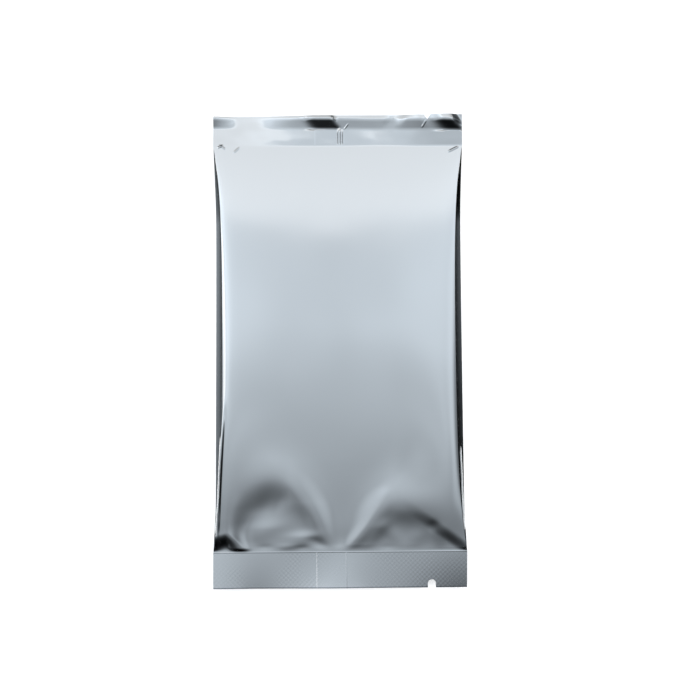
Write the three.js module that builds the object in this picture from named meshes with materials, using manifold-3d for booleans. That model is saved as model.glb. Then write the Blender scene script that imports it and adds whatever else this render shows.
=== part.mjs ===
// A foil sachet for one serving of food: a tube of silver laminate with a lapped seam down its back and a
// gusset folded into each side, heat sealed straight across both ends. It is filled, shut and lies on its
// back. Millimetres. +Z is up from the table, +Y runs to the top end, and the origin is on the table under
// the middle.

import * as THREE from "three";
import { mergeVertices } from "three/addons/utils/BufferGeometryUtils.js";
import Module from "manifold-3d";

const { clamp, lerp, smoothstep } = THREE.MathUtils;

// The film tube and its two end seals.
const WIDTH = 66;
const LENGTH = 124.5;
const BOTTOM_SEAL = 9.4;
const TOP_SEAL = 8.1;
const SEAL_THICKNESS = 0.6;
const SEAL_HEIGHT = 4.2; // of a seal's middle plane above the table

// The filled pouch between the seals. It is fullest near the bottom end and slopes gently up to the top seal.
const FILL_RISE = 6.4; // of the front above the seals where it is fullest
const FULLEST = -30; // along the bag
const TOP_SLOPE_POWER = 1.55; // a high power keeps the slope to the top seal back until close to it
const BOTTOM_FILL_RUN = 30; // length over which the side folds open from a seal
const TOP_FILL_RUN = 70;
const CROWN = 0.08; // share of the rise that the front loses evenly towards its sides
const LEFT_SHOULDER = { drop: 0.085, power: 34 }; // further share that it loses close to the creases
const RIGHT_SHOULDER = { drop: 0.075, power: 22 };
const LEFT_SHOULDER_START = -30; // along the bag, from where the left shoulder comes in
const LEFT_SHOULDER_END = -10;
const FRONT_BOW = 2.8; // how far the front creases pull in from the tube's width
const BACK_BOW = 0.6;
const BOW_RUN = 14; // length over which the creases pull in from a seal
const BACK_RUN_BOTTOM = 13; // length over which the back comes down from a seal to the table
const BACK_RUN_TOP = 20;
const BACK_LIFT = 2.2; // of the back creases above the table
const BACK_FLAT = 0.7; // share of the back's width that lies flat on the table
const GUSSET_SLOPE = 0.86; // of the lower half of a side fold, which shows beside the front
const GUSSET_FLARE = 1.35; // above 1, the lower half of a side fold flattens towards the back crease
const GUSSET_PRESSED = 0.1; // what is left of the side fold where it is pressed shut in the seals

// The front comes down to the bottom seal in a trough that widens upwards like a fan. Beside the trough two
// rolls of film arch over hollows, where the seal pulls the film in.
const FAN_RUN = 60; // length over which the middle of the front comes up from the seal
const FAN_POWER = 1.1;
const ROLLS = [
  {
    x: -18,
    halfWidths: [12, 12.5], // of the arch, left and right of x
    length: 16, // of the arch, up from the seal
    rounds: [2, 2], // 2 makes that half of the arch round, 1 makes it straight
    rise: 1.15,
    floor: [0, 0.4], // share of the rise that is kept under the arch
    out: 3, // from the arch out to the crest of the roll
    inner: [5, 5], // width of the roll's flank under the arch
    outer: 6.5, // width of its other flank
    trough: [2, 0.7], // half width of the trough at the seal, and its widening for each millimetre up
    fade: [14, 30], // where the roll dies away towards the side crease
    root: 13, // length over which the roll comes up from the seal
  },
  {
    x: 13.5,
    halfWidths: [8.2, 20.5],
    length: 10.1,
    rounds: [1.35, 1.9],
    rise: 1.45,
    floor: [0.85, 0.45],
    out: 1,
    inner: [4.2, 3.6],
    outer: 8.5,
    trough: [2, 0.8],
    fade: [15, 31],
    root: 16,
  },
];
const ROLL_TURN = 8; // half the width over which a roll changes from its left form to its right form

// Beside the rolls the margins come down more steeply, with a stiff fold across each bottom corner.
const MARGIN_START = 13;
const MARGIN_END = 30;
const LEFT_MARGIN = {
  share: 0.82, // of the full rise that the margin reaches near the seal
  run: 15,
  power: 1.7,
  step: 0.35, // share of the rise that the fold takes at once
  ends: [22, 30], // where the fold sets in, out from the middle
  foldX: -29.6,
  fold: 3, // distance of the fold from the seal at foldX
  falls: [0.35, 0.75], // how fast the fold comes down to the left and to the right of foldX
  halfWidth: 2.3,
};
const RIGHT_MARGIN = {
  share: 0.78,
  run: 12,
  power: 1.4,
  step: 0.15,
  ends: [10, 14],
  foldX: 27,
  fold: 4.9,
  falls: [-0.72, 0.72],
  halfWidth: 2,
};
const SEAL_BEND = 1; // length over which the margins bend up from the seal

// The seals have warped a little. The bottom one droops, and turns up in the middle. The top one tips down to
// the left, and its outer strip stands up as a lip, steeply in two places.
const BOTTOM_DROOP = 0.75;
const BOTTOM_WARPS = [
  { x: -34, halfWidth: 8, droop: -1, upturn: 0 },
  { x: -22, halfWidth: 6, droop: 0.1, upturn: -0.4 },
  { x: -12, halfWidth: 6, droop: 0.25, upturn: 0.1 },
  { x: 14, halfWidth: 6, droop: 0.2, upturn: 0.1 },
  { x: -4, halfWidth: 8, droop: 0, upturn: 0.6 },
  { x: 1, halfWidth: 5, droop: -0.45, upturn: 0 },
  { x: 34, halfWidth: 16, droop: 0.95, upturn: -0.6 },
];
const TOP_TIPS = [
  { x: -36, halfWidth: 27, drop: 0.48 },
  { x: 12.5, halfWidth: 8, drop: 0.24 },
  { x: 30, halfWidth: 12, drop: -0.45 },
];
const LIP = 3.45;
const LIP_SLANT = 0.014; // of the lip's crease across the bag
const LIP_RAMP = 0.56; // share of the lip that slopes straight up from its crease
const LIP_ROUND = 0.84; // share after which it slopes down again
const LIP_FALL = 0.35; // steepness of that slope beside the one up
const LIP_DIP_RUN = 0.6; // length over which a flap dips below the seal at the crease
const LIP_FLAPS = [
  { left: -34, right: -30, edges: [0.5, 4], leans: [0, 0], slope: 0.5, dip: 0 },
  { left: -14, right: -6.8, edges: [9, 2], leans: [0, 0.45], slope: 0.33, dip: 0 },
  { left: -6.8, right: 0.5, edges: [2, 0.8], leans: [0.45, 0.5], slope: 0.76, dip: 0.5 },
  { left: 0.5, right: 13, edges: [0.8, 2.5], leans: [0.5, -0.5], slope: 0.28, dip: 0 },
  { left: 14.7, right: 26, edges: [2.5, 2.5], leans: [-0.5, 0.6], slope: 0.3, dip: 0 },
  { left: 27.2, right: 33.3, edges: [3, 1.4], leans: [0.5, 0.6], slope: 0.7, dip: 0.4 },
];

// The lapped seam of the back, and the two tear notches.
const SEAM_LEFT = -6;
const SEAM_RIGHT = 1.6;
const SEAM_STEP = 0.3;
const SEAM_EDGE = 0.5; // width over which the back film climbs off the table at the seam's edge
const SEAM_FLANK = 1.6; // width of the gap beside the seam where it comes down again
const NOTCH_X = 23.8;
const ROUND_NOTCH_RADIUS = 1.05;
const ROUND_NOTCH_DEPTH = 2.1;
const V_NOTCH_WIDTH = 1.7;
const V_NOTCH_DEPTH = 1.3;
const NOTCH_SEGMENTS = 20;
const PUNCH_OVERHANG = 1; // how far the punch of a notch reaches out past the cut edge
const PUNCH_DEPTH = 17;
const PUNCH_BELOW = 4; // how far the punch starts below the table

// How finely the surface is divided, as counts of intervals between the stations named in stationList.
const FRONT_INTERVALS = 46;
const CROWDING = 0.5; // how much the columns crowd towards the creases
const STATION_COUNTS = { bottomSeal: 3, bottomEnd: 25, body: 10, topEnd: 8, topSeal: 2, lip: 6 };
const BOTTOM_END_LENGTH = 25;
const TOP_END_LENGTH = 22;

const HALF_WIDTH = WIDTH / 2;
const BOTTOM_EDGE = -LENGTH / 2;
const TOP_EDGE = LENGTH / 2;
const BOTTOM_LINE = BOTTOM_EDGE + BOTTOM_SEAL;
const TOP_LINE = TOP_EDGE - TOP_SEAL;
const LIP_LINE = TOP_EDGE - LIP;

function bell(distance, halfWidth) {
  return Math.exp(-((distance / halfWidth) ** 2));
}

// How far the side folds have opened, 0 at both seals and 1 along the pouch.
function fullness(y) {
  return smoothstep(y - BOTTOM_LINE, 0, BOTTOM_FILL_RUN) * smoothstep(TOP_LINE - y, 0, TOP_FILL_RUN);
}

// How far the side creases have pulled in, from 0 at the seals to nearly 1 along the pouch.
function pulledIn(y) {
  const fromBottom = Math.max(y - BOTTOM_LINE, 0);
  const fromTop = Math.max(TOP_LINE - y, 0);
  return (1 - Math.exp(-fromBottom / BOW_RUN)) * (1 - Math.exp(-fromTop / BOW_RUN));
}

// Height of the rolls of film beside the trough.
function rollRise(x, fromSeal) {
  return ROLLS.reduce((sum, roll) => {
    const side = x < roll.x ? 0 : 1;
    const power = roll.rounds[side];
    const across = Math.abs(x - roll.x) / roll.halfWidths[side];
    const reach = (across ** power + (fromSeal / roll.length) ** power) ** (1 / power);
    const pastCrest = (reach - 1) * roll.length - roll.out;
    const toRight = smoothstep(x - roll.x, -ROLL_TURN, ROLL_TURN);
    const inside = lerp(lerp(...roll.floor, toRight), 1, bell(pastCrest, lerp(...roll.inner, toRight)));
    const profile = pastCrest < 0 ? inside : bell(pastCrest, roll.outer);
    const fromMiddle = x * Math.sign(roll.x);
    const troughEdge = roll.trough[0] + roll.trough[1] * fromSeal;
    const held = smoothstep(fromMiddle, 0, troughEdge) * (1 - smoothstep(fromMiddle, ...roll.fade));
    return sum + roll.rise * profile * held * smoothstep(fromSeal, 0, roll.root);
  }, 0);
}

// Share of the full rise near one side crease, steep at the fold across the corner and gentle above it.
function marginRise(margin, x, fromSeal, fan) {
  const aside = x - margin.foldX;
  const fold = margin.fold + aside * (aside < 0 ? margin.falls[0] : -margin.falls[1]);
  const gentle = 1 - Math.exp(-((fromSeal / margin.run) ** margin.power));
  const folded = smoothstep(fromSeal - fold, -margin.halfWidth, margin.halfWidth);
  const steep = margin.step * folded * smoothstep(Math.abs(x), ...margin.ends);
  return lerp(margin.share, 1, fan) * lerp(gentle, 1, steep) * smoothstep(fromSeal, 0, SEAL_BEND);
}

// Height of the front above the seals, before its shoulders bend down to the creases.
function panelRise(x, y) {
  const toTop = clamp((y - FULLEST) / (TOP_LINE - FULLEST), 0, 1);
  const fromSeal = Math.max(y - BOTTOM_LINE, 0);
  const fan = Math.sin((Math.PI / 2) * clamp(fromSeal / FAN_RUN, 0, 1)) ** FAN_POWER;
  const atMargin = marginRise(x < 0 ? LEFT_MARGIN : RIGHT_MARGIN, x, fromSeal, fan);
  const share = lerp(fan, atMargin, smoothstep(Math.abs(x), MARGIN_START, MARGIN_END));
  return FILL_RISE * (1 - toTop ** TOP_SLOPE_POWER) * share + rollRise(x, fromSeal);
}

// Height of the bottom seal's warp above its flat plane.
function bottomWarp(x, y) {
  const outwards = clamp((BOTTOM_LINE - y) / BOTTOM_SEAL, 0, 1);
  return BOTTOM_WARPS.reduce((sum, warp) => {
    return sum + bell(x - warp.x, warp.halfWidth) * (warp.upturn * outwards ** 2 - warp.droop * outwards);
  }, -BOTTOM_DROOP * outwards);
}

// Height of the top seal's warp, which carries on the slope of the pouch's front.
function topTip(x, y) {
  const outwards = Math.max((y - TOP_LINE) / (LIP_LINE - TOP_LINE), 0);
  return TOP_TIPS.reduce((sum, tip) => sum - tip.drop * bell(x - tip.x, tip.halfWidth) * outwards, 0);
}

// Height of the lip that stands up from the outer crease of the top seal and turns over at its edge.
function lipRise(x, y) {
  const fromCrease = Math.max(y - LIP_LINE + LIP_SLANT * x, 0);
  const outwards = fromCrease / LIP;
  const bend = clamp(outwards - LIP_RAMP, 0, LIP_ROUND - LIP_RAMP);
  const beyond = Math.max(outwards - LIP_ROUND, 0);
  const turned = (1 + LIP_FALL) * (bend ** 2 / (2 * (LIP_ROUND - LIP_RAMP)) + beyond);
  const run = LIP * (outwards - turned);
  const dipped = smoothstep(fromCrease, 0, LIP_DIP_RUN);
  return LIP_FLAPS.reduce((sum, flap) => {
    const fromLeft = x + flap.leans[0] * fromCrease - flap.left;
    const fromRight = x + flap.leans[1] * fromCrease - flap.right;
    const begun = smoothstep(fromLeft, -flap.edges[0], flap.edges[0]);
    const ended = smoothstep(fromRight, -flap.edges[1], flap.edges[1]);
    return sum + (flap.slope * run - flap.dip * dipped) * (begun - ended);
  }, 0);
}

// Height of the middle of the sealed film above the table, along both ends.
function sealHeight(x, y) {
  return SEAL_HEIGHT + bottomWarp(x, y) + topTip(x, y) + lipRise(x, y);
}

function frontPoint(u, y) {
  const x = u * (HALF_WIDTH - FRONT_BOW * pulledIn(y));
  const left = LEFT_SHOULDER.drop * clamp(-u, 0, 1) ** LEFT_SHOULDER.power;
  const right = RIGHT_SHOULDER.drop * clamp(u, 0, 1) ** RIGHT_SHOULDER.power;
  const shoulder = 1 - CROWN * u ** 2 - left * smoothstep(y, LEFT_SHOULDER_START, LEFT_SHOULDER_END) - right;
  return new THREE.Vector3(x, y, sealHeight(x, y) + SEAL_THICKNESS / 2 + panelRise(x, y) * shoulder);
}

// The back lies on the table along the pouch and comes up to the seals at its ends. Beside the lapped seam
// the film is held off the table by the seam's own thickness.
function backPoint(u, y) {
  const x = u * (HALF_WIDTH - BACK_BOW * pulledIn(y));
  const nearBottom = 1 - smoothstep(y - BOTTOM_LINE, 0, BACK_RUN_BOTTOM);
  const nearTop = 1 - smoothstep(TOP_LINE - y, 0, BACK_RUN_TOP);
  const seal = sealHeight(x, y) - SEAL_THICKNESS / 2;
  const round = BACK_LIFT * fullness(y) * Math.max((Math.abs(u) - BACK_FLAT) / (1 - BACK_FLAT), 0) ** 2;
  const beside = Math.max(SEAM_LEFT - x, x - SEAM_RIGHT);
  const gap = clamp(beside / SEAM_EDGE, 0, 1) * clamp(1 - beside / SEAM_FLANK, 0, 1);
  const lifted = SEAM_STEP * fullness(y) * gap;
  return new THREE.Vector3(x, y, seal * Math.max(nearBottom, nearTop) + round + lifted);
}

// The gusset of one side: points between the front crease and the back crease, folded in between them.
function gussetPoints(side, y) {
  const front = frontPoint(side, y);
  const back = backPoint(side, y);
  const fold = front.clone().lerp(back, 0.5);
  const runIn = (fold.z - back.z) / GUSSET_SLOPE;
  fold.x = side * Math.min(Math.abs(back.x) - runIn, Math.abs(front.x) - GUSSET_PRESSED);
  const lower = fold.clone().lerp(back, 0.5);
  lower.z = lerp(back.z, fold.z, 0.5 ** GUSSET_FLARE);
  return [front.clone().lerp(fold, 0.5), fold, lower];
}

function spread(from, to, intervals) {
  return Array.from({ length: intervals }, (_, i) => lerp(from, to, i / intervals));
}

// Places along the bag where its cross-section is taken, closer together where the film bends most.
function stationList() {
  const bottomEnd = BOTTOM_LINE + BOTTOM_END_LENGTH;
  const topEnd = TOP_LINE - TOP_END_LENGTH;
  return [
    ...spread(BOTTOM_EDGE, BOTTOM_LINE, STATION_COUNTS.bottomSeal),
    ...spread(BOTTOM_LINE, bottomEnd, STATION_COUNTS.bottomEnd),
    ...spread(bottomEnd, topEnd, STATION_COUNTS.body),
    ...spread(topEnd, TOP_LINE, STATION_COUNTS.topEnd),
    ...spread(TOP_LINE, LIP_LINE, STATION_COUNTS.topSeal),
    ...spread(LIP_LINE, TOP_EDGE, STATION_COUNTS.lip),
    TOP_EDGE,
  ];
}

// Columns of the front from crease to crease, closer together towards the creases.
function frontColumns() {
  return [...spread(-1, 1, FRONT_INTERVALS), 1].map((t) => lerp(t, Math.sin((Math.PI / 2) * t), CROWDING));
}

// Columns of the back: those of the front, with more at the edges of the seam and of the gaps beside it.
function backColumns() {
  const gap = [0, SEAM_EDGE, SEAM_FLANK];
  const seam = [...gap.map((width) => SEAM_LEFT - width), ...gap.map((width) => SEAM_RIGHT + width)];
  return [...frontColumns(), ...seam.map((x) => x / HALF_WIDTH)].sort((a, b) => a - b);
}

// One cross-section as a closed ring: over the front, through the right gusset, under the back and through
// the left gusset.
function ring(y) {
  const front = frontColumns().map((u) => frontPoint(u, y));
  const back = backColumns().map((u) => backPoint(u, y));
  return [...front, ...gussetPoints(1, y), ...back.reverse(), ...gussetPoints(-1, y).reverse()];
}

// The skin of the bag, lofted through its cross-sections and closed across both cut ends.
function bagGeometry() {
  const rings = stationList().map(ring);
  const count = rings[0].length;
  const index = [];
  for (let station = 0; station + 1 < rings.length; station += 1) {
    for (let i = 0; i < count; i += 1) {
      const near = station * count + i;
      const nearNext = station * count + ((i + 1) % count);
      index.push(near, nearNext, nearNext + count, near, nearNext + count, near + count);
    }
  }
  const last = (rings.length - 1) * count;
  for (const [a, b, c] of endTriangles(rings[0])) index.push(a, b, c);
  for (const [a, b, c] of endTriangles(rings[rings.length - 1])) index.push(last + a, last + c, last + b);
  return new THREE.BufferGeometry().setFromPoints(rings.flat()).setIndex(index);
}

// Triangles across a cut end, zipped from left to right between the inner front columns and the rest.
function endTriangles(points) {
  const all = [...points.keys()];
  const upper = all.slice(1, FRONT_INTERVALS);
  const lower = [0, ...all.slice(FRONT_INTERVALS).reverse()];
  const triangles = [];
  let i = 0;
  let j = 0;
  while (i + 1 < upper.length || j + 1 < lower.length) {
    const upperDone = i + 1 === upper.length;
    const lowerDone = j + 1 === lower.length;
    if (upperDone || (!lowerDone && points[lower[j + 1]].x <= points[upper[i + 1]].x)) {
      triangles.push([upper[i], lower[j], lower[j + 1]]);
      j += 1;
    } else {
      triangles.push([upper[i], lower[j], upper[i + 1]]);
      i += 1;
    }
  }
  return triangles;
}

const WELD_DISTANCE = 1e-4;
const wasm = await Module();
wasm.setup();

function toSolid(geometry) {
  const bare = new THREE.BufferGeometry().setAttribute("position", geometry.getAttribute("position"));
  const merged = mergeVertices(bare.setIndex(geometry.index), WELD_DISTANCE);
  const triVerts = new Uint32Array(merged.index.array);
  const vertProperties = new Float32Array(merged.attributes.position.array);
  return new wasm.Manifold(new wasm.Mesh({ numProp: 3, vertProperties, triVerts }));
}

function toGeometry(solid) {
  const mesh = solid.getMesh();
  return new THREE.BufferGeometry()
    .setAttribute("position", new THREE.BufferAttribute(mesh.vertProperties, 3))
    .setIndex(new THREE.BufferAttribute(mesh.triVerts, 1));
}

// A punch that goes right through the film, its outline drawn with y measured in from the cut edge.
function punch(shape, edgeY, inward) {
  const options = { depth: PUNCH_DEPTH, bevelEnabled: false, curveSegments: NOTCH_SEGMENTS };
  const geometry = new THREE.ExtrudeGeometry(shape, options);
  if (inward < 0) geometry.rotateZ(Math.PI);
  geometry.translate(NOTCH_X, edgeY, -PUNCH_BELOW);
  return toSolid(geometry);
}

function roundNotch() {
  const shape = new THREE.Shape();
  const shoulder = ROUND_NOTCH_DEPTH - ROUND_NOTCH_RADIUS;
  shape.moveTo(-ROUND_NOTCH_RADIUS, -PUNCH_OVERHANG);
  shape.lineTo(ROUND_NOTCH_RADIUS, -PUNCH_OVERHANG);
  shape.lineTo(ROUND_NOTCH_RADIUS, shoulder);
  shape.absarc(0, shoulder, ROUND_NOTCH_RADIUS, 0, Math.PI, false);
  return punch(shape, BOTTOM_EDGE, 1);
}

function vNotch() {
  const slope = V_NOTCH_WIDTH / 2 / V_NOTCH_DEPTH;
  const shape = new THREE.Shape();
  shape.moveTo(-slope * (V_NOTCH_DEPTH + PUNCH_OVERHANG), -PUNCH_OVERHANG);
  shape.lineTo(slope * (V_NOTCH_DEPTH + PUNCH_OVERHANG), -PUNCH_OVERHANG);
  shape.lineTo(0, V_NOTCH_DEPTH);
  return punch(shape, TOP_EDGE, -1);
}

const foil = new THREE.MeshStandardMaterial({ color: 0xdfe4ea, metalness: 1, roughness: 0.22 });
const skin = toSolid(bagGeometry()).subtract(roundNotch()).subtract(vNotch());
const bag = new THREE.Mesh(toGeometry(skin), foil);
bag.name = "foil_bag";

const group = new THREE.Group();
group.add(bag);

export default group;
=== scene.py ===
import math

import bpy
import numpy as np
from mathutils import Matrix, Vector


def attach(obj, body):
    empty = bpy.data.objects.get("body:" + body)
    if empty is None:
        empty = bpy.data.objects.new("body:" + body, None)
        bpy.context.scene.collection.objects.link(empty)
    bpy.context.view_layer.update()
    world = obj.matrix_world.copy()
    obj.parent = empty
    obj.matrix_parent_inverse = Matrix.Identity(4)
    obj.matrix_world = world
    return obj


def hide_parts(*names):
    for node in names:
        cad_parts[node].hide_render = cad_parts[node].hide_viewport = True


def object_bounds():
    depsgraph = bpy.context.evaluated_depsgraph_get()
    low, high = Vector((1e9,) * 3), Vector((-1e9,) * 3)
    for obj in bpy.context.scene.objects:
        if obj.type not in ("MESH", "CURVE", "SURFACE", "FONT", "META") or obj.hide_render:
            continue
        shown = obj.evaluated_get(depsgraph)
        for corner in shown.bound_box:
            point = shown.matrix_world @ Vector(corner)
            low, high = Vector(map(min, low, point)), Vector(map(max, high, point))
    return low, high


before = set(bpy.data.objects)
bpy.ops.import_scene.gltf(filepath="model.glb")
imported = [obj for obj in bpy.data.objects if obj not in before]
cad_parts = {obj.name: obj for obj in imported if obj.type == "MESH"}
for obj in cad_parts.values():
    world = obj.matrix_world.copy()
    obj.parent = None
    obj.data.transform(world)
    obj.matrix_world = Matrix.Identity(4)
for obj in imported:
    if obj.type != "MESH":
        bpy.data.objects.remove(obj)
cad_low, cad_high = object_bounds()
scene = bpy.context.scene

# The camera stands over the bag and looks almost straight down, a little from its bottom end, so that the
# top end looks slightly narrower. A long lens keeps the outline close to a rectangle.
MM = 0.001
CAMERA_LENS = 85
CAMERA_DISTANCE = 434 * MM
CAMERA_ELEVATION = math.radians(85.26)
CAMERA_TURN = math.radians(0.4)
CAMERA_AIM = Vector((2.9 * MM, -0.2 * MM, 4.2 * MM))

bpy.ops.object.camera_add()
camera = bpy.context.object
camera.data.lens = CAMERA_LENS
camera.rotation_euler = (math.pi / 2 - CAMERA_ELEVATION, 0, -CAMERA_TURN)
camera.location = CAMERA_AIM + camera.rotation_euler.to_matrix() @ Vector((0, 0, CAMERA_DISTANCE))
scene.camera = camera

# The film is one tube of silver laminate, pressed flat. A grid is its front, the same grid pushed down is
# its back, and rows of faces down both sides are the gussets that will be folded in.
WIDTH = cad_high.x - cad_low.x
LENGTH = cad_high.y - cad_low.y
HALF_WIDTH = WIDTH / 2
BOTTOM_EDGE = -LENGTH / 2
TOP_EDGE = LENGTH / 2
SEAL_THICKNESS = 0.5 * MM
COLUMNS = 140
ROWS = 290
GUSSET_CUTS = 9

bpy.ops.object.select_all(action="DESELECT")
bpy.ops.mesh.primitive_grid_add(x_subdivisions=COLUMNS, y_subdivisions=ROWS, size=1)
bag = bpy.context.object
bag.name = "foil_bag_film"
bpy.ops.object.mode_set(mode="EDIT")
bpy.ops.transform.resize(value=(WIDTH, LENGTH, 1))
bpy.ops.mesh.extrude_region_move(TRANSFORM_OT_translate={"value": (0, 0, -SEAL_THICKNESS)})
bpy.ops.mesh.select_all(action="SELECT")
bpy.ops.mesh.normals_make_consistent(inside=False)
bpy.ops.mesh.select_mode(type="EDGE")
bpy.ops.mesh.select_all(action="DESELECT")
bpy.ops.object.mode_set(mode="OBJECT")


def corners(mesh):
    """The places of all corners of a mesh, as rows of x, y and z."""
    flat = np.empty(len(mesh.vertices) * 3)
    mesh.vertices.foreach_get("co", flat)
    return flat.reshape(-1, 3)


def edge_ends(mesh):
    """The two corner numbers of every edge."""
    ends = np.empty(len(mesh.edges) * 2, dtype=np.int64)
    mesh.edges.foreach_get("vertices", ends)
    return ends.reshape(-1, 2)


heights = corners(bag.data)[:, 2]
ends = edge_ends(bag.data)
upright = np.abs(heights[ends[:, 0]] - heights[ends[:, 1]]) > SEAL_THICKNESS / 2
bag.data.edges.foreach_set("select", upright)
bpy.ops.object.mode_set(mode="EDIT")
bpy.ops.mesh.subdivide_edgering(number_cuts=GUSSET_CUTS, interpolation="LINEAR", smoothness=0)
bpy.ops.object.mode_set(mode="OBJECT")

# Across the tube the columns crowd towards the side creases, and along it the rows crowd where the film
# bends most: at the bottom seal, in the slope above it, and in the lip of the top seal.
BOTTOM_SEAL = 9.4 * MM
TOP_SEAL = 8.1 * MM
LIP = 3.85 * MM
BOTTOM_LINE = BOTTOM_EDGE + BOTTOM_SEAL
TOP_LINE = TOP_EDGE - TOP_SEAL
LIP_LINE = TOP_EDGE - LIP
BOTTOM_SLOPE = 25 * MM
TOP_SLOPE = 22 * MM
ROW_PLACES = [
    BOTTOM_EDGE,
    BOTTOM_LINE,
    BOTTOM_LINE + BOTTOM_SLOPE,
    TOP_LINE - TOP_SLOPE,
    TOP_LINE,
    LIP_LINE,
    TOP_EDGE,
]
ROWS_BETWEEN = [30, 90, 80, 45, 17, 28]
CREASE_BAND = 1.2 * MM
CREASE_COLUMNS = 9

row_shares = np.cumsum([0] + ROWS_BETWEEN) / sum(ROWS_BETWEEN)
crease_share = 2 * CREASE_COLUMNS / COLUMNS
column_shares = [-1, crease_share - 1, 1 - crease_share, 1]
crease_place = 1 - CREASE_BAND / HALF_WIDTH
column_places = [-1, -crease_place, crease_place, 1]

flat = corners(bag.data)
across = np.interp(flat[:, 0] / HALF_WIDTH, column_shares, column_places)
along = np.interp(flat[:, 1] / LENGTH + 0.5, row_shares, ROW_PLACES)
around = -flat[:, 2] / SEAL_THICKNESS

# The filled pouch is pressed shut at both seals. Between them its side folds open, and the creases along
# its sides bow in, those of the front more than those of the back.
OPENS_FROM_BOTTOM = 30 * MM
OPENS_FROM_TOP = 70 * MM
FRONT_BOW = 2.8 * MM
BACK_BOW = 0.6 * MM
BOW_RUN = 14 * MM


def smooth(low, high, value):
    """0 below low, 1 above high, and an even S between them."""
    share = np.clip((value - low) / (high - low), 0, 1)
    return share * share * (3 - 2 * share)


def bell(distance, half_width):
    """1 at no distance, falling evenly to both sides."""
    return np.exp(-((distance / half_width) ** 2))


def mix(first, second, share):
    """The first at a share of 0, the second at 1, and even steps between them."""
    return first + (second - first) * share


def fullness(y):
    """0 at both seals and 1 along the pouch, as the side folds open."""
    return smooth(0, OPENS_FROM_BOTTOM, y - BOTTOM_LINE) * smooth(0, OPENS_FROM_TOP, TOP_LINE - y)


def pulled_in(y):
    """How far the side creases have pulled in, from 0 at the seals to nearly 1 along the pouch."""
    from_bottom = np.maximum(y - BOTTOM_LINE, 0)
    from_top = np.maximum(TOP_LINE - y, 0)
    return (1 - np.exp(-from_bottom / BOW_RUN)) * (1 - np.exp(-from_top / BOW_RUN))


# Above the bottom seal a roll of film arches over a hollow on each side of the middle, where the film is
# pulled in to the seal. The left arch is round, and the right one is wider and flatter.
ROLL_TURN = 8
ROLLS = [
    {
        "x": -18,
        "half_widths": (12, 12.5),
        "length": 16,
        "rounds": (2, 2),
        "rise": 1.15,
        "floor": (0, 0.4),
        "out": 3,
        "inner": (5, 5),
        "outer": 6.5,
        "trough": (2, 0.7),
        "fade": (14, 30),
        "root": 13,
    },
    {
        "x": 13.5,
        "half_widths": (8.2, 20.5),
        "length": 10.1,
        "rounds": (1.35, 1.9),
        "rise": 1.45,
        "floor": (0.85, 0.45),
        "out": 1,
        "inner": (4.2, 3.6),
        "outer": 8.5,
        "trough": (2, 0.8),
        "fade": (15, 31),
        "root": 16,
    },
]


def rolls(x, from_seal):
    """Height of the two rolls. An arch reaches half_widths to both sides of x, and length up from the seal.

    With rounds of 2 the arch is round, with 1 it is straight. The crest lies out beyond the arch, between
    an inner and an outer flank. Under the arch the film keeps a share of the rise, its floor. Arch, inner
    flank and floor differ to the left and right of x. A trough ends the roll towards the middle of the bag,
    with a half width at the seal and more for each mm up. The roll fades towards the side crease, and comes
    up from the seal over its root. Sizes are in mm.
    """
    height = 0
    for roll in ROLLS:
        aside = x / MM - roll["x"]
        roundness = np.where(aside < 0, *roll["rounds"])
        sideways = np.abs(aside) / np.where(aside < 0, *roll["half_widths"])
        upwards = from_seal / MM / roll["length"]
        reach = (sideways**roundness + upwards**roundness) ** (1 / roundness)
        past_crest = (reach - 1) * roll["length"] - roll["out"]
        to_right = smooth(-ROLL_TURN, ROLL_TURN, aside)
        inside = mix(mix(*roll["floor"], to_right), 1, bell(past_crest, mix(*roll["inner"], to_right)))
        profile = np.where(past_crest < 0, inside, bell(past_crest, roll["outer"]))
        from_middle = x / MM * np.sign(roll["x"])
        trough = roll["trough"][0] + roll["trough"][1] * from_seal / MM
        held = smooth(0, trough, from_middle) * (1 - smooth(*roll["fade"], from_middle))
        height = height + roll["rise"] * MM * held * profile * smooth(0, roll["root"] * MM, from_seal)
    return height


# Towards the side creases the film comes up from the bottom seal sooner than in the middle. A stiff fold
# runs across each bottom corner, and below it the film drops steeply to the seal.
SEAL_BEND = 1 * MM
MARGIN_BEGINS = [13 * MM, 30 * MM]
LEFT_MARGIN = {
    "share": 0.82,
    "run": 15,
    "power": 1.7,
    "fold_x": -29.6,
    "fold": 3,
    "falls": (0.35, 0.75),
    "half_width": 2.3,
    "step": 0.35,
    "ends": (22, 30),
}
RIGHT_MARGIN = {
    "share": 0.78,
    "run": 12,
    "power": 1.4,
    "fold_x": 27,
    "fold": 4.9,
    "falls": (-0.72, 0.72),
    "half_width": 2,
    "step": 0.15,
    "ends": (10, 14),
}


def margin_rise(x, from_seal, fan, margin):
    """Share of the full rise near a side crease: steep at the fold across the bottom corner, gentle above.

    The film comes up to the margin's share over its run. The fold is highest above the seal at fold_x, or
    carries on rising where one of its falls is below 0. Within half_width of it the film takes a step of
    the rise, which ends towards the middle of the bag. Sizes are in mm.
    """
    aside = x / MM - margin["fold_x"]
    left_fall, right_fall = margin["falls"]
    fold = margin["fold"] + left_fall * np.minimum(aside, 0) - right_fall * np.maximum(aside, 0)
    above_fold = from_seal / MM - fold
    half_width = margin["half_width"]
    gentle = 1 - np.exp(-((from_seal / MM / margin["run"]) ** margin["power"]))
    steep = margin["step"] * smooth(-half_width, half_width, above_fold)
    steep = steep * smooth(*margin["ends"], np.abs(x) / MM)
    return mix(margin["share"], 1, fan) * mix(gentle, 1, steep) * smooth(0, SEAL_BEND, from_seal)


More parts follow.
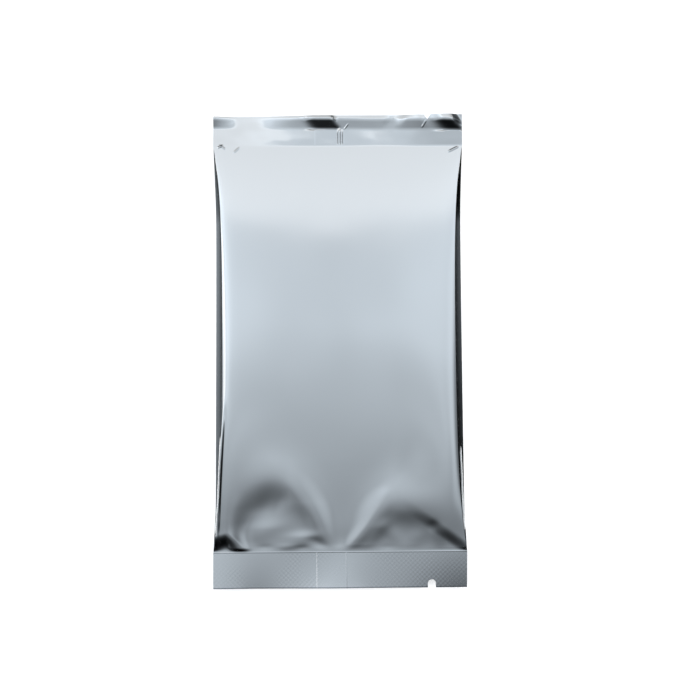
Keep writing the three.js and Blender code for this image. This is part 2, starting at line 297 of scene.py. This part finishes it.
# Where the film gathers into the bottom seal it has small lumps and dents: in the hollows under the rolls,
# in the middle and at both ends of the seal.
PUCKER_START = 2 * MM
PUCKERS = [
    {"x": -20, "from_seal": 5.9, "half_width": 4, "half_lengths": (5, 2.2), "lean": 0.8, "rise": 0.24},
    {"x": -18.6, "from_seal": 11, "half_width": 4.6, "half_lengths": (4.2, 9), "lean": 0.35, "rise": -0.34},
    {"x": -19.5, "from_seal": 11.8, "half_width": 4.5, "half_lengths": (2, 2.6), "lean": 0.6, "rise": -0.1},
    {"x": -9.9, "from_seal": 3.8, "half_width": 3.6, "half_lengths": (3.2, 1.4), "lean": 0.6, "rise": 0.3},
    {"x": -9.4, "from_seal": 9.5, "half_width": 3.6, "half_lengths": (5, 7), "lean": 0, "rise": -0.18},
    {"x": -25, "from_seal": 3.2, "half_width": 3.6, "half_lengths": (2.6, 6), "lean": -0.4, "rise": -0.16},
    {"x": 0.5, "from_seal": 2.6, "half_width": 2.6, "half_lengths": (2, 3), "lean": 0, "rise": -0.12},
    {"x": -5.8, "from_seal": 2.4, "half_width": 2, "half_lengths": (1.9, 1.5), "lean": -0.8, "rise": -0.16},
    {"x": 5.2, "from_seal": 4, "half_width": 2.2, "half_lengths": (3.6, 6), "lean": 0.8, "rise": 0.28},
    {"x": -19.5, "from_seal": 0.9, "half_width": 2, "half_lengths": (1.3, 1), "lean": 0, "rise": -0.1},
    {"x": -14.3, "from_seal": 0.9, "half_width": 2, "half_lengths": (1.3, 1), "lean": 0, "rise": 0.09},
    {"x": -9.8, "from_seal": 0.8, "half_width": 1.6, "half_lengths": (1.3, 1), "lean": 0, "rise": -0.09},
    {"x": -31.5, "from_seal": 9, "half_width": 3.4, "half_lengths": (4, 14), "lean": 0, "rise": 0.16},
    {"x": 10, "from_seal": 6, "half_width": 2.4, "half_lengths": (5, 2.4), "lean": 0.7, "rise": 0.24},
    {"x": 13.6, "from_seal": 4.6, "half_width": 2.2, "half_lengths": (3, 2.6), "lean": -0.6, "rise": 0.1},
    {"x": 19.7, "from_seal": 3.6, "half_width": 2.4, "half_lengths": (2.6, 2.2), "lean": 0.3, "rise": 0.1},
    {"x": 12.2, "from_seal": 0.6, "half_width": 1.8, "half_lengths": (1.3, 1), "lean": 0, "rise": -0.08},
    {"x": 25.8, "from_seal": 4.6, "half_width": 1.6, "half_lengths": (3, 2), "lean": 0, "rise": 0.14},
    {"x": 24.1, "from_seal": 6.8, "half_width": 1.3, "half_lengths": (1.4, 1.2), "lean": 0, "rise": -0.12},
]


def puckers(x, from_seal):
    """Height of the lumps and dents.

    Each has one half length towards the seal and one away from it, and leans to the right by so much for
    each mm up. Sizes are in mm.
    """
    height = 0
    for pucker in PUCKERS:
        beyond = from_seal / MM - pucker["from_seal"]
        aside = x / MM - pucker["x"] - pucker["lean"] * beyond
        half_length = np.where(beyond < 0, *pucker["half_lengths"])
        away = np.hypot(aside / pucker["half_width"], beyond / half_length)
        height = height + pucker["rise"] * MM * bell(away, 1)
    return height * smooth(0, PUCKER_START, from_seal)


# The front of the pouch is fullest near the bottom end and slopes gently down to the top seal. At the
# bottom seal it comes down in a trough that opens like a fan. Faint waves in it make the reflections waver.
FILL_RISE = 6.4 * MM
FULLEST = -30 * MM
TOP_SLOPE_POWER = 1.55
FAN_RUN = 60 * MM
FAN_POWER = 1.1
WAVE_HEIGHT = 0.02 * MM
WAVE_SPACING = 21 * MM
WAVES = [
    {"x": 0.4, "y": 1, "start": 0},
    {"x": -0.7, "y": 0.63, "start": 2},
    {"x": 1.1, "y": 0.2, "start": 1},
]


def waves(x, y):
    """Height of the faint waves, each of which runs its own way across the front."""
    turns = 2 * math.pi / WAVE_SPACING
    height = 0
    for wave in WAVES:
        height = height + np.sin(turns * (wave["x"] * x + wave["y"] * y) + wave["start"])
    return WAVE_HEIGHT * height


def panel_rise(x, y):
    """Height of the front above the seals, before its shoulders bend down to the creases."""
    to_top = np.clip((y - FULLEST) / (TOP_LINE - FULLEST), 0, 1)
    from_seal = np.maximum(y - BOTTOM_LINE, 0)
    fan = np.sin(math.pi / 2 * np.clip(from_seal / FAN_RUN, 0, 1)) ** FAN_POWER
    left = margin_rise(x, from_seal, fan, LEFT_MARGIN)
    right = margin_rise(x, from_seal, fan, RIGHT_MARGIN)
    share = mix(fan, np.where(x < 0, left, right), smooth(*MARGIN_BEGINS, np.abs(x)))
    full = FILL_RISE * (1 - to_top**TOP_SLOPE_POWER)
    return full * share + rolls(x, from_seal) + puckers(x, from_seal) + waves(x, y) * fullness(y)


# The two seals are flat bands that have warped a little. The bottom one droops, more to the right, and
# turns up in the middle. The top one tips down to the left, and ends in a lip that stands up, steeply in
# two places.
SEAL_HEIGHT = 4.2 * MM
BOTTOM_DROOP = 0.75 * MM
BOTTOM_WARPS = [
    {"x": -34 * MM, "half_width": 8 * MM, "droop": -1 * MM, "upturn": 0},
    {"x": -22 * MM, "half_width": 6 * MM, "droop": 0.1 * MM, "upturn": -0.4 * MM},
    {"x": -12 * MM, "half_width": 6 * MM, "droop": 0.25 * MM, "upturn": 0.1 * MM},
    {"x": 14 * MM, "half_width": 6 * MM, "droop": 0.2 * MM, "upturn": 0.1 * MM},
    {"x": -4 * MM, "half_width": 8 * MM, "droop": 0, "upturn": 0.6 * MM},
    {"x": 1 * MM, "half_width": 5 * MM, "droop": -0.45 * MM, "upturn": 0},
    {"x": 34 * MM, "half_width": 16 * MM, "droop": 0.95 * MM, "upturn": -0.6 * MM},
]
TOP_TIPS = [
    {"x": -36 * MM, "half_width": 27 * MM, "drop": 0.48 * MM},
    {"x": 12.5 * MM, "half_width": 8 * MM, "drop": 0.24 * MM},
    {"x": 30 * MM, "half_width": 12 * MM, "drop": -0.45 * MM},
]
LIP_SLANT = 0.014
LIP_START = 0.22
LIP_RAMP = 0.6
LIP_ROUND = 0.86
LIP_FALL = 0.35
LIP_FLAPS = [
    {"left": -34, "right": -30, "edges": (0.5, 4), "leans": (0, 0), "slope": 0.5, "dip": 0},
    {"left": -14, "right": -6.8, "edges": (9, 2), "leans": (0, 0.45), "slope": 0.33, "dip": 0},
    {"left": -6.8, "right": 0.5, "edges": (2, 0.8), "leans": (0.45, 0.5), "slope": 0.76, "dip": 0.5},
    {"left": 0.5, "right": 13, "edges": (0.8, 2.5), "leans": (0.5, -0.5), "slope": 0.28, "dip": 0},
    {"left": 14.7, "right": 26, "edges": (2.5, 2.5), "leans": (-0.5, 0.6), "slope": 0.3, "dip": 0},
    {"left": 27.2, "right": 33.3, "edges": (3, 1.4), "leans": (0.5, 0.6), "slope": 0.7, "dip": 0.4},
]
LIP_DIP_RUN = 0.1 * MM


def bottom_warp(x, y):
    """Height of the bottom seal's warp above its flat plane."""
    outwards = np.clip((BOTTOM_LINE - y) / BOTTOM_SEAL, 0, 1)
    droop = BOTTOM_DROOP
    upturn = 0
    for warp in BOTTOM_WARPS:
        near = bell(x - warp["x"], warp["half_width"])
        droop = droop + warp["droop"] * near
        upturn = upturn + warp["upturn"] * near
    return upturn * outwards**2 - droop * outwards


def top_tip(x, y):
    """Height of the top seal's warp, which carries on the slope of the pouch's front."""
    outwards = np.maximum((y - TOP_LINE) / (LIP_LINE - TOP_LINE), 0)
    tip = 0
    for part in TOP_TIPS:
        tip = tip + part["drop"] * bell(x - part["x"], part["half_width"])
    return -tip * outwards


def lip_rise(x, y):
    """Height of the lip that stands up from the outer crease of the top seal and turns over at its edge.

    In shares of the lip, its slope builds up as far as LIP_START, turns over from LIP_RAMP to LIP_ROUND and
    then falls. A flap lies between its left and its right, in mm. Both have soft edges and lean on the way
    out, and the foot of a steep flap dips first.
    """
    from_crease = np.maximum(y - LIP_LINE + LIP_SLANT * x, 0)
    outwards = from_crease / LIP
    bend = np.clip(outwards - LIP_RAMP, 0, LIP_ROUND - LIP_RAMP)
    turned = (1 + LIP_FALL) * (bend**2 / (2 * (LIP_ROUND - LIP_RAMP)) + np.maximum(outwards - LIP_ROUND, 0))
    started = np.clip(outwards, 0, LIP_START)
    run = LIP * (outwards - started + started**2 / (2 * LIP_START) - turned)
    dipped = MM * smooth(0, LIP_DIP_RUN, from_crease)
    height = 0
    for flap in LIP_FLAPS:
        from_left = (x + flap["leans"][0] * from_crease) / MM - flap["left"]
        from_right = (x + flap["leans"][1] * from_crease) / MM - flap["right"]
        begun = smooth(-flap["edges"][0], flap["edges"][0], from_left)
        ended = smooth(-flap["edges"][1], flap["edges"][1], from_right)
        height = height + (flap["slope"] * run - flap["dip"] * dipped) * (begun - ended)
    return height


def seal_height(x, y):
    """Height of the middle of the sealed film above the table, along both ends."""
    return SEAL_HEIGHT + bottom_warp(x, y) + top_tip(x, y) + lip_rise(x, y)


# The edges of the front: its shoulders bend down to the side creases. Along the lower half of the left edge
# the film stands up in a sharp crease, which shows as a light line with a dark one beside it.
CROWN = 0.08
LEFT_SHOULDER = {"drop": 0.085, "power": 34}
LEFT_SHOULDER_FADE = [-30 * MM, -10 * MM]
RIGHT_SHOULDER = {"drop": 0.075, "power": 22}
HEM_TOP = Vector((-29.7 * MM, -11 * MM))
HEM_BOTTOM = Vector((-32.2 * MM, -54 * MM))
HEM_RISE = 0.41 * MM
HEM_HALF_WIDTH = 0.85 * MM
HEM_FADE = 0.3


def left_hem(x, y):
    """Height of the sharp crease along the lower half of the left edge."""
    share = np.clip((HEM_TOP.y - y) / (HEM_TOP.y - HEM_BOTTOM.y), 0, 1)
    aside = np.abs(x - mix(HEM_TOP.x, HEM_BOTTOM.x, share))
    faded = smooth(0, HEM_FADE, share) * (1 - smooth(1 - HEM_FADE, 1, share))
    return HEM_RISE * (1 - smooth(0, HEM_HALF_WIDTH, aside)) * faded


def front_place(u, y):
    """A place on the front: u runs from -1 at the left crease to 1 at the right one."""
    x = u * (HALF_WIDTH - FRONT_BOW * pulled_in(y))
    left = LEFT_SHOULDER["drop"] * np.clip(-u, 0, 1) ** LEFT_SHOULDER["power"]
    left = left * smooth(*LEFT_SHOULDER_FADE, y)
    right = RIGHT_SHOULDER["drop"] * np.clip(u, 0, 1) ** RIGHT_SHOULDER["power"]
    shoulder = 1 - CROWN * u**2 - left - right
    seal = seal_height(x, y) + SEAL_THICKNESS / 2
    return np.stack([x, y, seal + panel_rise(x, y) * shoulder + left_hem(x, y)], axis=1)


# The back lies flat on the table under the pouch and comes up to the seals at both ends. The lapped seam
# runs down it a little left of the middle, and holds the film beside it off the table.
BACK_RUN_BOTTOM = 13 * MM
BACK_RUN_TOP = 20 * MM
BACK_LIFT = 2.2 * MM
BACK_FLAT = 0.7
SEAM_LEFT = -6 * MM
SEAM_RIGHT = 1.6 * MM
SEAM_STEP = 0.3 * MM
SEAM_FLANK = 1.6 * MM


def back_place(u, y):
    """A place on the back: u runs from -1 at the left crease to 1 at the right one."""
    x = u * (HALF_WIDTH - BACK_BOW * pulled_in(y))
    near_bottom = 1 - smooth(0, BACK_RUN_BOTTOM, y - BOTTOM_LINE)
    near_top = 1 - smooth(0, BACK_RUN_TOP, TOP_LINE - y)
    seal = seal_height(x, y) - SEAL_THICKNESS / 2
    rounded = BACK_LIFT * fullness(y) * np.clip((np.abs(u) - BACK_FLAT) / (1 - BACK_FLAT), 0, 1) ** 2
    beside = np.maximum(SEAM_LEFT - x, x - SEAM_RIGHT)
    lifted = SEAM_STEP * fullness(y) * np.where(beside > 0, np.clip(1 - beside / SEAM_FLANK, 0, 1), 0)
    return np.stack([x, y, seal * np.maximum(near_bottom, near_top) + rounded + lifted], axis=1)


# The gussets: each side of the tube is folded in between the front and back creases. The lower half of the
# fold slopes out to the back crease and shows beside the front, and all of it is pressed shut in the seals.
GUSSET_SLOPE = 0.86
GUSSET_PRESSED = 0.1 * MM
GUSSET_FLARE = 1.35
TOUCHING = 1e-6
SMOOTH_ANGLE = math.radians(50)


def gusset_place(side, y, share):
    """A place on a gusset: share runs from 0 at the front crease over the fold to 1 at the back crease."""
    front = front_place(side, y)
    back = back_place(side, y)
    fold = mix(front, back, 0.5)
    run_in = (fold[:, 2] - back[:, 2]) / GUSSET_SLOPE
    fold[:, 0] = side * np.minimum(np.abs(back[:, 0]) - run_in, np.abs(front[:, 0]) - GUSSET_PRESSED)
    upper = mix(front, fold, np.clip(2 * share, 0, 1)[:, None])
    lower_share = np.clip(2 * share - 1, 0, 1)
    lower = mix(fold, back, lower_share[:, None])
    lower[:, 2] = mix(back[:, 2], fold[:, 2], (1 - lower_share) ** GUSSET_FLARE)
    return np.where((share < 0.5)[:, None], upper, lower)


front = front_place(across, along)
back = back_place(across, along)
at_side = np.abs(across) > 1 - TOUCHING
places = mix(front, back, around[:, None])
folded = at_side & (around > TOUCHING) & (around < 1 - TOUCHING)
places[folded] = gusset_place(np.sign(across[folded]), along[folded], around[folded])
bag.data.vertices.foreach_set("co", places.ravel())
bag.data.update()
bpy.ops.object.shade_smooth_by_angle(angle=SMOOTH_ANGLE)

# The two tear notches near the right side: a round one punched into the bottom edge, and a small V snipped
# into the top edge. A punch of its own shape cuts each one out of the film.
NOTCH_X = 23.8 * MM
ROUND_NOTCH_RADIUS = 1.05 * MM
ROUND_NOTCH_DEPTH = 2.1 * MM
ROUND_NOTCH_FACETS = 40
V_NOTCH_WIDTH = 1.7 * MM
V_NOTCH_DEPTH = 1.3 * MM
PUNCH_HEIGHT = 30 * MM
PUNCH_REACH = 2 * ROUND_NOTCH_DEPTH
PUNCH_SLACK = 0.01 * ROUND_NOTCH_RADIUS


def cut_away(punch):
    """Cuts the shape of a punch out of the bag, and takes the punch away."""
    cut = bag.modifiers.new("notch", "BOOLEAN")
    cut.operation = "DIFFERENCE"
    cut.solver = "MANIFOLD"
    cut.object = punch
    bpy.context.view_layer.objects.active = bag
    bpy.ops.object.modifier_apply(modifier=cut.name)
    bpy.data.objects.remove(punch)


round_centre = BOTTOM_EDGE + ROUND_NOTCH_DEPTH - ROUND_NOTCH_RADIUS
bpy.ops.object.select_all(action="DESELECT")
bpy.ops.mesh.primitive_cylinder_add(
    vertices=ROUND_NOTCH_FACETS,
    radius=ROUND_NOTCH_RADIUS,
    depth=PUNCH_HEIGHT,
    location=(NOTCH_X, round_centre, 0),
)
round_punch = bpy.context.object
lower_half = corners(round_punch.data)[:, 1] < -PUNCH_SLACK
bpy.ops.object.mode_set(mode="EDIT")
bpy.ops.mesh.select_all(action="DESELECT")
bpy.ops.object.mode_set(mode="OBJECT")
round_punch.data.vertices.foreach_set("select", lower_half)
bpy.ops.object.mode_set(mode="EDIT")
bpy.ops.transform.translate(value=(0, -PUNCH_REACH, 0))
bpy.ops.object.mode_set(mode="OBJECT")
bpy.ops.object.transform_apply()
cut_away(round_punch)

bpy.ops.object.select_all(action="DESELECT")
bpy.ops.mesh.primitive_cube_add(size=1, location=(NOTCH_X, TOP_EDGE, 0), rotation=(0, 0, math.pi / 4))
v_punch = bpy.context.object
v_side = V_NOTCH_DEPTH * math.sqrt(2)
v_punch.scale = (v_side, v_side, PUNCH_HEIGHT)
bpy.ops.object.transform_apply()
v_narrowing = V_NOTCH_WIDTH / 2 / V_NOTCH_DEPTH
bpy.ops.transform.resize(value=(v_narrowing, 1, 1), center_override=(NOTCH_X, TOP_EDGE, 0))
bpy.ops.object.transform_apply()
cut_away(v_punch)

bpy.ops.object.select_all(action="DESELECT")
bag.select_set(True)
bpy.ops.object.shade_smooth_by_angle(angle=SMOOTH_ANGLE)

# The foil: bright silver laminate, a little cool in colour. The sealing jaws have pressed a fine cross-hatch
# into the bottom seal and faint clouds into the top one. The edges of the lapped seam show through both as
# fine ridges, and a few sharp creases lie in the top seal and in the gussets. A thin grey line of painted
# shade darkens the colour along the bottom cut edge.
FOIL_COLOUR = (0.86, 0.88, 0.89, 1)
EDGE_SHADE_COLOUR = (0.4, 0.42, 0.45, 1)
FOIL_ROUGHNESS = 0.11
SEAL_ROUGHNESS = 0.2
ROUGHNESS_SPREAD = 0.04
PATCH_SCALE = 90
PATCH_DETAIL = 4
PATCH_EDGES = (0.35, 0.65)
RELIEF_UNIT = MM
HATCH_SPACING = 1.2 * MM
HATCH_HEIGHT = 0.007
RIDGE_WIDTH = 0.2 * MM
RIDGE_HEIGHT = 0.035
FAINT_RIDGE_HEIGHT = 0.006
BEAD_HEIGHT = 0.04
CLOUD_HEIGHT = 0.14
CLOUD_SCALE = 130
CLOUD_DETAIL = 1
CLOUD_START = 2 * MM
EDGE_SHADE_WIDTH = 0.4 * MM
CREASE_FADE = 0.3
CREASES = [
    {"from": (-27.7, 52.3), "to": (-25.8, 54), "half_width": 0.4, "height": 0.08},
    {"from": (29, 52.2), "to": (32.4, 53.9), "half_width": 0.45, "height": 0.13},
    {"from": (-32, 53.7), "to": (-30.2, 54.6), "half_width": 0.4, "height": 0.12},
    {"from": (-31.6, 54.7), "to": (-29.6, 53.3), "half_width": 0.4, "height": 0.1},
    {"from": (23.7, 61), "to": (22.2, 58.6), "half_width": 0.4, "height": 0.08},
    {"from": (1.6, 58.4), "to": (3, 60.2), "half_width": 0.3, "height": 0.08},
    {"from": (0, 53.8), "to": (0, 58.8), "half_width": 0.16, "height": 0.09},
    {"from": (0.7, 53.8), "to": (0.7, 58.8), "half_width": 0.16, "height": 0.09},
    {"from": (1.3, 53.8), "to": (1.3, 58.8), "half_width": 0.16, "height": 0.09},
    {"from": (-31, -20), "to": (-32.7, -51), "half_width": 0.25, "height": 0.16},
    {"from": (31.6, -23), "to": (32.7, -50), "half_width": 0.25, "height": 0.16},
]


class Wire:
    """An output of a node in a node tree, so that shader maths reads as Python expressions."""

    def __init__(self, tree, socket=None):
        self.tree = tree
        self.socket = socket

    def add(self, kind, settings, inputs, output=0):
        """One output of a new node, which gets its settings and the values or links of its sockets."""
        node = self.tree.nodes.new(kind)
        for name, value in settings.items():
            setattr(node, name, value)
        for name, value in inputs.items():
            if isinstance(value, Wire):
                self.tree.links.new(value.socket, node.inputs[name])
            else:
                node.inputs[name].default_value = value
        return Wire(self.tree, node.outputs[output])

    def maths(self, operation, *values):
        """The result of a maths node."""
        return self.add("ShaderNodeMath", {"operation": operation}, dict(enumerate(values)))

    def __add__(self, other):
        return self.maths("ADD", self, other)

    __radd__ = __add__

    def __sub__(self, other):
        return self.maths("SUBTRACT", self, other)

    def __rsub__(self, other):
        return self.maths("SUBTRACT", other, self)

    def __mul__(self, other):
        return self.maths("MULTIPLY", self, other)

    __rmul__ = __mul__

    def __pow__(self, other):
        return self.maths("POWER", self, other)

    def __neg__(self):
        return self.maths("MULTIPLY", self, -1)

    def size(self):
        return self.maths("ABSOLUTE", self)

    def sine(self):
        return self.maths("SINE", self)

    def rising(self, start, end):
        """0 up to start, 1 from end on, and an even S between them."""
        ends = {"Value": self, "From Min": start, "From Max": end, "To Min": 0, "To Max": 1}
        return self.add("ShaderNodeMapRange", {"interpolation_type": "SMOOTHSTEP"}, ends)

    def ridge(self, place, half_width):
        """1 along a line at a place, falling to 0 on both sides of it."""
        return 1 - (self - place).size().rising(0, half_width)


def new_material(name):
    """A material with the usual shader in it."""
    material = bpy.data.materials.new(name)
    material.use_nodes = True
    return material


foil = new_material("silver_foil")
wire = Wire(foil.node_tree)
place = wire.add("ShaderNodeTexCoord", {}, {}, "Object")
x = wire.add("ShaderNodeSeparateXYZ", {}, {"Vector": place}, "X")
y = wire.add("ShaderNodeSeparateXYZ", {}, {"Vector": place}, "Y")
in_bottom_seal = 1 - y.rising(BOTTOM_LINE - RIDGE_WIDTH, BOTTOM_LINE)
in_top_seal = y.rising(TOP_LINE, TOP_LINE + RIDGE_WIDTH) * (1 - y.rising(LIP_LINE - RIDGE_WIDTH, LIP_LINE))
turns = 2 * math.pi / HATCH_SPACING
patchy = {"Vector": place, "Scale": PATCH_SCALE, "Detail": PATCH_DETAIL}
patches = wire.add("ShaderNodeTexNoise", {}, patchy, "Fac")
hatch = (turns * x).sine() * (turns * y).sine() * in_bottom_seal * patches.rising(*PATCH_EDGES)
ridges = x.ridge(SEAM_LEFT, RIDGE_WIDTH) + x.ridge(SEAM_RIGHT, RIDGE_WIDTH)
ridges = ridges * (RIDGE_HEIGHT * in_bottom_seal + FAINT_RIDGE_HEIGHT * in_top_seal)
bead = y.ridge(BOTTOM_LINE, RIDGE_WIDTH)
cloudy = {"Vector": place, "Scale": CLOUD_SCALE, "Detail": CLOUD_DETAIL}
clouds = wire.add("ShaderNodeTexNoise", {}, cloudy, "Fac")
clouds = (clouds - 0.5) * y.rising(TOP_LINE, TOP_LINE + CLOUD_START)
relief = HATCH_HEIGHT * hatch + ridges + BEAD_HEIGHT * bead + CLOUD_HEIGHT * clouds
for crease in CREASES:
    start = Vector(crease["from"]) * MM
    run = Vector(crease["to"]) * MM - start
    ahead = run.normalized()
    along_crease = (x - start.x) * ahead.x + (y - start.y) * ahead.y
    across_crease = (y - start.y) * ahead.x - (x - start.x) * ahead.y
    fade = CREASE_FADE * run.length
    faded = along_crease.rising(0, fade) * (1 - along_crease.rising(run.length - fade, run.length))
    relief = relief + crease["height"] * across_crease.ridge(0, crease["half_width"] * MM) * faded
bumped = wire.add("ShaderNodeBump", {}, {"Strength": 1, "Distance": RELIEF_UNIT, "Height": relief})
roughness = FOIL_ROUGHNESS + ROUGHNESS_SPREAD * (patches - 0.5)
roughness = roughness + (SEAL_ROUGHNESS - FOIL_ROUGHNESS) * in_bottom_seal
# Painted shade: the foil colour turns to a darker grey in a thin line along the bottom cut edge.
painted_edge_shade = 1 - (y - BOTTOM_EDGE).rising(EDGE_SHADE_WIDTH / 2, EDGE_SHADE_WIDTH)
colours = {"Fac": painted_edge_shade, "Color1": FOIL_COLOUR, "Color2": EDGE_SHADE_COLOUR}
colour = wire.add("ShaderNodeMixRGB", {}, colours, "Color")
shader = foil.node_tree.nodes["Principled BSDF"]
shader.inputs["Metallic"].default_value = 1
foil.node_tree.links.new(colour.socket, shader.inputs["Base Color"])
foil.node_tree.links.new(roughness.socket, shader.inputs["Roughness"])
foil.node_tree.links.new(bumped.socket, shader.inputs["Normal"])
bag.data.materials.clear()
bag.data.materials.append(foil)

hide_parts("foil_bag")
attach(bag, "root")

# A plain white table top under the bag. It is matt and glows a little, so that it is as evenly white as the
# background of the photo.
FLOOR_SIZE = 3
FLOOR_COLOUR = (0.9, 0.9, 0.9, 1)
FLOOR_ROUGHNESS = 0.8
FLOOR_GLOW = 0.3
WHITE = (1, 1, 1, 1)

bpy.ops.object.select_all(action="DESELECT")
bpy.ops.mesh.primitive_plane_add(size=FLOOR_SIZE)
floor = bpy.context.object
floor.name = "table_top"
white = new_material("white_table")
surface = white.node_tree.nodes["Principled BSDF"].inputs
surface["Base Color"].default_value = FLOOR_COLOUR
surface["Roughness"].default_value = FLOOR_ROUGHNESS
surface["Specular IOR Level"].default_value = 0
surface["Emission Color"].default_value = WHITE
surface["Emission Strength"].default_value = FLOOR_GLOW
floor.data.materials.append(white)

# Studio light: a soft box behind the top end, another to the left, and a light that only whitens the table.
# The foil reflects the rest of the room: grey overhead, hazy on both sides towards the back, darker low
# down and on the camera's side, with a faint glow low on both sides of the camera.
ROOM_TINT = (0.84, 0.92, 1, 1)
BOX_TINT = (1, 0.97, 0.95)
SKY_TOP = 0.55
SKY_POWER = 5.2
FRONT_SHADE = {"loss": 0.05, "begins": (0, 0.3)}
BOX_FOOT = (0.32, 0.4)
BACK_GLOW = {"strength": 0.25, "begins": (0, 0.36)}
LEFT_HAZE = {"strength": 0.22, "begins": (-0.05, 0.3), "thins": (0.3, 0.45), "loss": 0.5}
RIGHT_HAZE = {"strength": 0.1, "begins": (-0.03, 0.1), "thins": (0.25, 0.5), "loss": 0.6}
HAZE_STEPS = [(-0.1, 0.12), (0.12, 0.28)]
LEFT_GLOW = {"strength": 0.33, "begins": (0.15, 0.42), "shaded": (0.45, 0.65)}
RIGHT_GLOW = {"strength": 0.24, "begins": (0.15, 0.38), "shaded": (0.32, 0.48)}
RIGHT_GLOW_ENDS = (0.42, 0.55)
GLOW_LOSS = 0.9
WALLS = {
    "strength": 0.28,
    "aside": (0.4, 0.6),
    "front": (0.3, 0.45),
    "foot": (0.2, 0.3),
    "top": (0.45, 0.6),
}
TABLE_LIGHT = {"turn": (-8, 6, 0), "strength": 2.4, "spread": 90}
LIGHT_AIM = Vector((0, 0, 10 * MM))


def soft_box(name, place, width, height, radiance):
    """An even rectangle of light that faces the bag and doesn't show itself."""
    bpy.ops.object.light_add(type="AREA", location=place)
    box = bpy.context.object
    box.name = name
    box.data.shape = "RECTANGLE"
    box.data.size = width
    box.data.size_y = height
    box.data.energy = radiance * math.pi * width * height
    box.data.color = BOX_TINT
    box.rotation_euler = (LIGHT_AIM - Vector(place)).to_track_quat("-Z", "Y").to_euler()
    box.visible_camera = False


soft_box("back_box", place=(0, 0.652, 0.776), width=1.6, height=0.672, radiance=0.34)
soft_box("left_box", place=(-0.66, 0.05, 0.78), width=1.2, height=0.4, radiance=0.6)

bpy.ops.object.light_add(type="SUN", rotation=[math.radians(angle) for angle in TABLE_LIGHT["turn"]])
table_light = bpy.context.object
table_light.data.energy = TABLE_LIGHT["strength"]
table_light.data.angle = math.radians(TABLE_LIGHT["spread"])
table_light.visible_glossy = False

world = bpy.data.worlds.new("studio")
scene.world = world
world.use_nodes = True
wire = Wire(world.node_tree)
direction = wire.add("ShaderNodeTexCoord", {}, {}, "Generated")
split = {"Vector": direction}
to_right = wire.add("ShaderNodeSeparateXYZ", {}, split, "X")
to_back = wire.add("ShaderNodeSeparateXYZ", {}, split, "Y")
up = wire.maths("MAXIMUM", wire.add("ShaderNodeSeparateXYZ", {}, split, "Z"), 0)


def haze_on(side, haze):
    """Haze on one side of the room, which begins near the middle and thins further out."""
    thinned = 1 - haze["loss"] * side.rising(*haze["thins"])
    return haze["strength"] * side.rising(*haze["begins"]) * thinned


def glow_on(side, glow):
    """Glow of one side of the room, which is shaded towards the camera."""
    shaded = 1 - GLOW_LOSS * (-to_back).rising(*glow["shaded"])
    return glow["strength"] * side.rising(*glow["begins"]) * shaded


from_sides = haze_on(-to_right, LEFT_HAZE) + haze_on(to_right, RIGHT_HAZE)
from_sides = from_sides * (to_back.rising(*HAZE_STEPS[0]) + to_back.rising(*HAZE_STEPS[1]))
from_sides = from_sides + glow_on(-to_right, LEFT_GLOW)
from_sides = from_sides + glow_on(to_right, RIGHT_GLOW) * (1 - to_right.rising(*RIGHT_GLOW_ENDS))
from_back = BACK_GLOW["strength"] * to_back.rising(*BACK_GLOW["begins"])
glow = from_back + from_sides * (1 - to_back.rising(*BOX_FOOT))
overhead = SKY_TOP * up**SKY_POWER * (1 - FRONT_SHADE["loss"] * (-to_back).rising(*FRONT_SHADE["begins"]))
walls = WALLS["strength"] * to_right.size().rising(*WALLS["aside"]) * (-to_back).rising(*WALLS["front"])
walls = walls * up.rising(*WALLS["foot"]) * (1 - up.rising(*WALLS["top"]))
grey = overhead + glow * up + walls
room = wire.add("ShaderNodeBackground", {}, {"Color": ROOM_TINT, "Strength": grey})
backdrop = wire.add("ShaderNodeBackground", {}, {"Color": WHITE, "Strength": 1})
seen = wire.add("ShaderNodeLightPath", {}, {}, "Is Camera Ray")
shown = wire.add("ShaderNodeMixShader", {}, {0: seen, 1: room, 2: backdrop})
world.node_tree.links.new(shown.socket, world.node_tree.nodes["World Output"].inputs["Surface"])

scene.view_settings.view_transform = "Standard"
